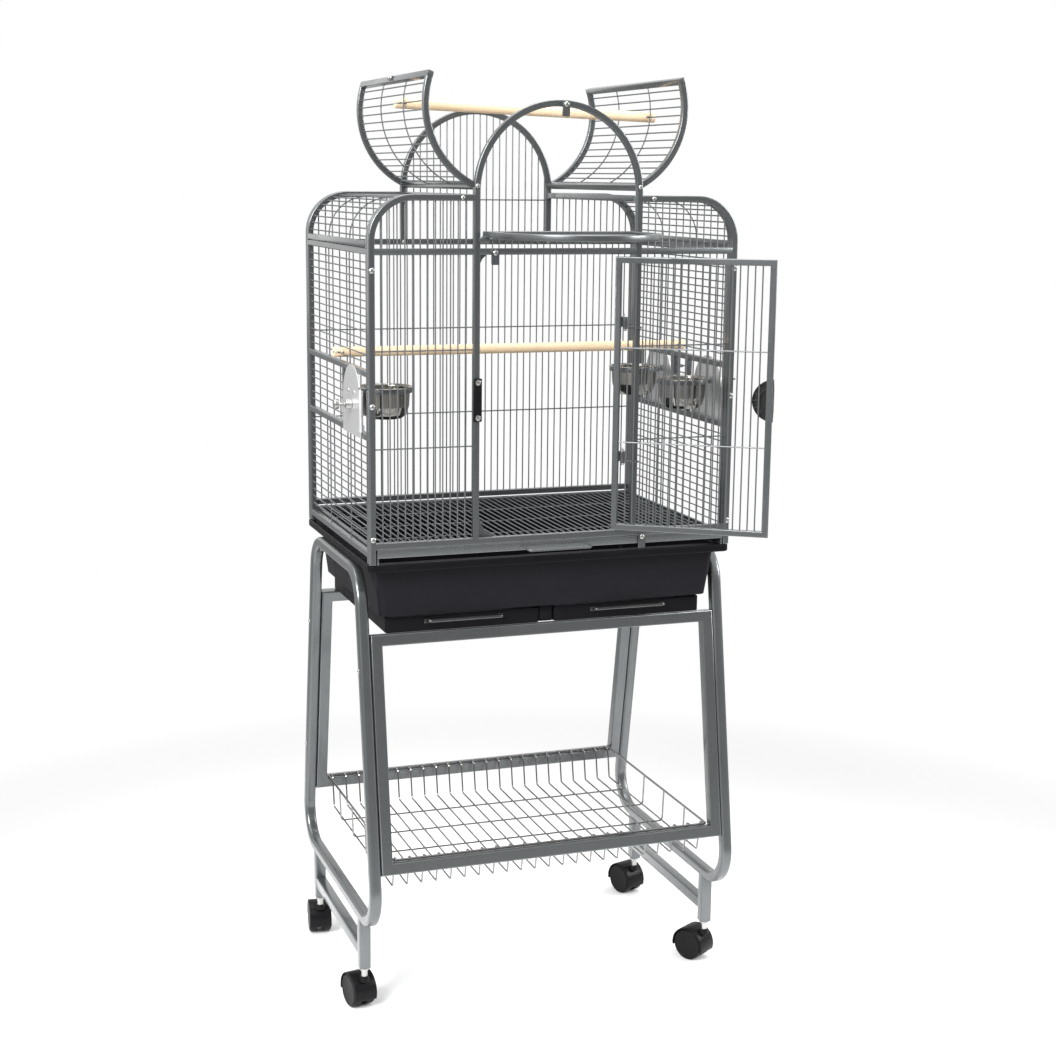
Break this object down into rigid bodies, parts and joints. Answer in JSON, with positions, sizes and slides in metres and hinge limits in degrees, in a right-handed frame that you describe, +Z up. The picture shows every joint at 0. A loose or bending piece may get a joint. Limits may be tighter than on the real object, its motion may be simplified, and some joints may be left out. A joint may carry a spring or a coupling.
{
  "type": "bird cage",
  "caption": "Wire bird cage with a domed play top on a wheeled stand, with hinged flaps, front door, feeder doors, pull-out grate, drawers and storage shelf.",
  "frame": {"origin": "on the floor, under the middle of the whole with its door and flaps open", "axes": "+Z up, +X to the right as seen from the front, +Y to the back"},
  "size_m": [0.6716, 0.6542, 1.5034],
  "materials": {
    "bowl": "polished",
    "bright": "zinc plated",
    "frame": "hammered",
    "plastic": "moulded",
    "plate": "satin",
    "shelf": "polished",
    "wood": "bare dowel"
  },
  "bodies": {
    "cage_and_stand": {"stand_loop_left": "frame", "stand_loop_right": "frame", "stand_frame_front": "frame", "stand_frame_rear": "frame", "storage_shelf": "shelf", "hopper": "plastic", "front_panel": "frame", "back_panel": "frame", "side_panel_left": "frame", "side_panel_right": "frame", "roof_panel_left": "frame", "roof_panel_right": "frame", "lock_keeper": "plastic", "keeper_screw_upper": "bright", "keeper_screw_lower": "bright", "turn_bolt_dome": "bright", "turn_bolt_door": "bright", "low_perch": "wood", "castor_stem_front_left": "bright", "castor_stem_front_right": "bright", "castor_stem_rear_left": "bright", "castor_stem_rear_right": "bright", "post_screw_left_lower": "bright", "post_screw_left_middle": "bright", "post_screw_left_upper": "bright", "post_screw_right_lower": "bright", "post_screw_right_middle": "bright", "post_screw_right_upper": "bright"},
    "front_door": {"front_door": "frame"},
    "door_lock": {"door_lock": "plastic"},
    "top_flap_left": {"top_flap_left": "frame"},
    "top_flap_right": {"top_flap_right": "frame"},
    "dome_flap": {"dome_flap": "frame"},
    "turn_button_door": {"turn_button_door": "plate"},
    "turn_button_dome": {"turn_button_dome": "plate"},
    "turn_button_grate": {"turn_button_grate": "plate"},
    "grate": {"grate": "frame", "turn_bolt_grate": "bright"},
    "drawer_left": {"drawer_left": "plastic"},
    "drawer_right": {"drawer_right": "plastic"},
    "top_perch": {"top_perch": "wood"},
    "feeder_door_left": {"feeder_door_left": "plate"},
    "bowl_left": {"bowl_left": "bowl"},
    "thumbscrew_left": {"thumbscrew_left": "bright"},
    "feeder_door_right_front": {"feeder_door_right_front": "plate"},
    "bowl_right_front": {"bowl_right_front": "bowl"},
    "thumbscrew_right_front": {"thumbscrew_right_front": "bright"},
    "feeder_door_right_rear": {"feeder_door_right_rear": "plate"},
    "bowl_right_rear": {"bowl_right_rear": "bowl"},
    "thumbscrew_right_rear": {"thumbscrew_right_rear": "bright"},
    "castor_hood_front_left": {"castor_hood_front_left": "plastic"},
    "castor_wheel_front_left": {"castor_wheel_front_left": "plastic"},
    "castor_hood_front_right": {"castor_hood_front_right": "plastic"},
    "castor_wheel_front_right": {"castor_wheel_front_right": "plastic"},
    "castor_hood_rear_left": {"castor_hood_rear_left": "plastic"},
    "castor_wheel_rear_left": {"castor_wheel_rear_left": "plastic"},
    "castor_hood_rear_right": {"castor_hood_rear_right": "plastic"},
    "castor_wheel_rear_right": {"castor_wheel_rear_right": "plastic"}
  },
  "joints": [
    {"name": "front_door_hinge", "type": "hinge", "parent": "cage_and_stand", "child": "front_door", "pos_m": [0.1105, -0.12754, 1.01], "axis": [0, 0, 1], "range_deg": [-147, 23]},
    {"name": "door_lock_turn", "type": "hinge", "parent": "front_door", "child": "door_lock", "pos_m": [0.30576, -0.25137, 1.008], "axis": [-0.5446, -0.8387, 0], "range_deg": [0, 90]},
    {"name": "top_flap_left_hinge", "type": "hinge", "parent": "cage_and_stand", "child": "top_flap_left", "pos_m": [-0.13333, 0.08926, 1.3335], "axis": [0, 1, 0], "range_deg": [0, 69.3]},
    {"name": "top_flap_right_hinge", "type": "hinge", "parent": "cage_and_stand", "child": "top_flap_right", "pos_m": [0.13333, 0.08926, 1.3335], "axis": [0, -1, 0], "range_deg": [0, 69.3]},
    {"name": "dome_flap_hinge", "type": "hinge", "parent": "cage_and_stand", "child": "dome_flap", "pos_m": [0, -0.12704, 1.2515], "axis": [-1, 0, 0], "range_deg": [0, 90]},
    {"name": "turn_button_door_turn", "type": "hinge", "parent": "cage_and_stand", "child": "turn_button_door", "pos_m": [-0.1056, -0.12234, 1.2332], "axis": [0, 1, 0], "range_deg": [-90, 90]},
    {"name": "turn_button_dome_turn", "type": "hinge", "parent": "cage_and_stand", "child": "turn_button_dome", "pos_m": [0.007, -0.12254, 1.4571], "axis": [0, 1, 0], "range_deg": [-90, 90]},
    {"name": "turn_button_grate_turn", "type": "hinge", "parent": "grate", "child": "turn_button_grate", "pos_m": [0.148, -0.12254, 0.7775], "axis": [0, 1, 0], "range_deg": [-90, 90]},
    {"name": "grate_slide", "type": "slide", "parent": "cage_and_stand", "child": "grate", "axis": [0, -1, 0], "range_m": [0, 0.35]},
    {"name": "drawer_left_slide", "type": "slide", "parent": "cage_and_stand", "child": "drawer_left", "axis": [0, -1, 0], "range_m": [0, 0.25]},
    {"name": "drawer_right_slide", "type": "slide", "parent": "cage_and_stand", "child": "drawer_right", "axis": [0, -1, 0], "range_m": [0, 0.25]},
    {"name": "feeder_hinge_left", "type": "hinge", "parent": "cage_and_stand", "child": "feeder_door_left", "pos_m": [-0.3105, -0.09454, 1.04], "axis": [0, 0, 1], "range_deg": [0, 100]},
    {"name": "bowl_lift_left", "type": "slide", "parent": "feeder_door_left", "child": "bowl_left", "axis": [0, 0, 1], "range_m": [0, 0.012]},
    {"name": "thumbscrew_turn_left", "type": "hinge", "parent": "feeder_door_left", "child": "thumbscrew_left", "pos_m": [-0.3078, -0.02154, 0.996], "axis": [1, 0, 0], "continuous": true},
    {"name": "feeder_hinge_right_front", "type": "hinge", "parent": "cage_and_stand", "child": "feeder_door_right_front", "pos_m": [0.3105, -0.09454, 1.04], "axis": [0, 0, -1], "range_deg": [0, 100]},
    {"name": "bowl_lift_right_front", "type": "slide", "parent": "feeder_door_right_front", "child": "bowl_right_front", "axis": [0, 0, 1], "range_m": [0, 0.012]},
    {"name": "thumbscrew_turn_right_front", "type": "hinge", "parent": "feeder_door_right_front", "child": "thumbscrew_right_front", "pos_m": [0.3078, -0.02154, 0.996], "axis": [1, 0, 0], "continuous": true},
    {"name": "feeder_hinge_right_rear", "type": "hinge", "parent": "cage_and_stand", "child": "feeder_door_right_rear", "pos_m": [0.3105, 0.11046, 1.04], "axis": [0, 0, -1], "range_deg": [0, 100]},
    {"name": "bowl_lift_right_rear", "type": "slide", "parent": "feeder_door_right_rear", "child": "bowl_right_rear", "axis": [0, 0, 1], "range_m": [0, 0.012]},
    {"name": "thumbscrew_turn_right_rear", "type": "hinge", "parent": "feeder_door_right_rear", "child": "thumbscrew_right_rear", "pos_m": [0.3078, 0.18346, 0.996], "axis": [1, 0, 0], "continuous": true},
    {"name": "castor_swivel_front_left", "type": "hinge", "parent": "cage_and_stand", "child": "castor_hood_front_left", "pos_m": [-0.306, -0.07074, 0], "axis": [0, 0, 1], "continuous": true},
    {"name": "castor_spin_front_left", "type": "hinge", "parent": "castor_hood_front_left", "child": "castor_wheel_front_left", "pos_m": [-0.31008, -0.04912, 0.027], "axis": [0.9826, 0.1857, 0], "continuous": true},
    {"name": "castor_swivel_front_right", "type": "hinge", "parent": "cage_and_stand", "child": "castor_hood_front_right", "pos_m": [0.306, -0.07074, 0], "axis": [0, 0, 1], "continuous": true},
    {"name": "castor_spin_front_right", "type": "hinge", "parent": "castor_hood_front_right", "child": "castor_wheel_front_right", "pos_m": [0.29467, -0.05188, 0.027], "axis": [0.8572, 0.515, 0], "continuous": true},
    {"name": "castor_swivel_rear_left", "type": "hinge", "parent": "cage_and_stand", "child": "castor_hood_rear_left", "pos_m": [-0.306, 0.24366, 0], "axis": [0, 0, 1], "continuous": true},
    {"name": "castor_spin_rear_left", "type": "hinge", "parent": "castor_hood_rear_left", "child": "castor_wheel_rear_left", "pos_m": [-0.30294, 0.26544, 0.027], "axis": [0.9903, -0.1392, 0], "continuous": true},
    {"name": "castor_swivel_rear_right", "type": "hinge", "parent": "cage_and_stand", "child": "castor_hood_rear_right", "pos_m": [0.306, 0.24366, 0], "axis": [0, 0, 1], "continuous": true},
    {"name": "castor_spin_rear_right", "type": "hinge", "parent": "castor_hood_rear_right", "child": "castor_wheel_rear_right", "pos_m": [0.29902, 0.26452, 0.027], "axis": [0.9483, 0.3173, 0], "continuous": true},
    {"name": "top_perch_lift", "type": "slide", "parent": "cage_and_stand", "child": "top_perch", "axis": [0, 0, 1], "range_m": [0, 0.9]}
  ],
  "couplings": [
    {"joint": "top_flap_right_hinge", "follows": "top_flap_left_hinge", "ratio": 1},
    {"joint": "top_perch_lift", "follows": "top_flap_left_hinge", "m_per_rad": 0.7439}
  ]
}
